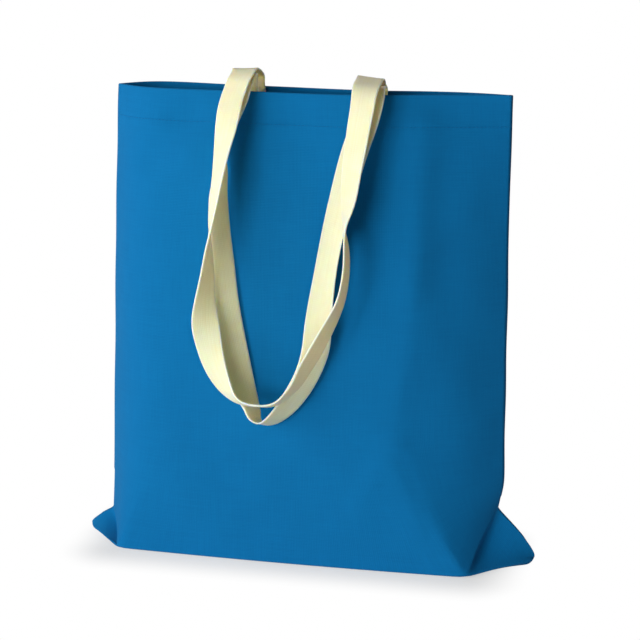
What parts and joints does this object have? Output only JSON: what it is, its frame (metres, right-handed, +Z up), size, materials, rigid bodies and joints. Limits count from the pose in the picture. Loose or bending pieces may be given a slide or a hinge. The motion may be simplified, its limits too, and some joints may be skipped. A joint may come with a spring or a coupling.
{
  "type": "cotton tote bag",
  "caption": "Blue canvas tote bag standing open on a boxed bottom, its corners folded out as ears, with long cream webbing handles hanging twisted over the front",
  "frame": {"origin": "The middle of the flat base, on the floor that the bag stands on.", "axes": "+Z is up, out of the mouth. +X is to the right, towards the longer ear. -Y is the front, where the handles hang, and +Y is the back."},
  "size_m": [0.3758, 0.1404, 0.3954],
  "materials": {
    "blue_cotton_canvas": "matt plain weave",
    "natural_cotton_webbing": "matt ribbed webbing"
  },
  "bodies": {
    "root": {"bag_body": "blue_cotton_canvas", "front_handle": "natural_cotton_webbing", "back_handle": "natural_cotton_webbing"}
  },
  "joints": []
}
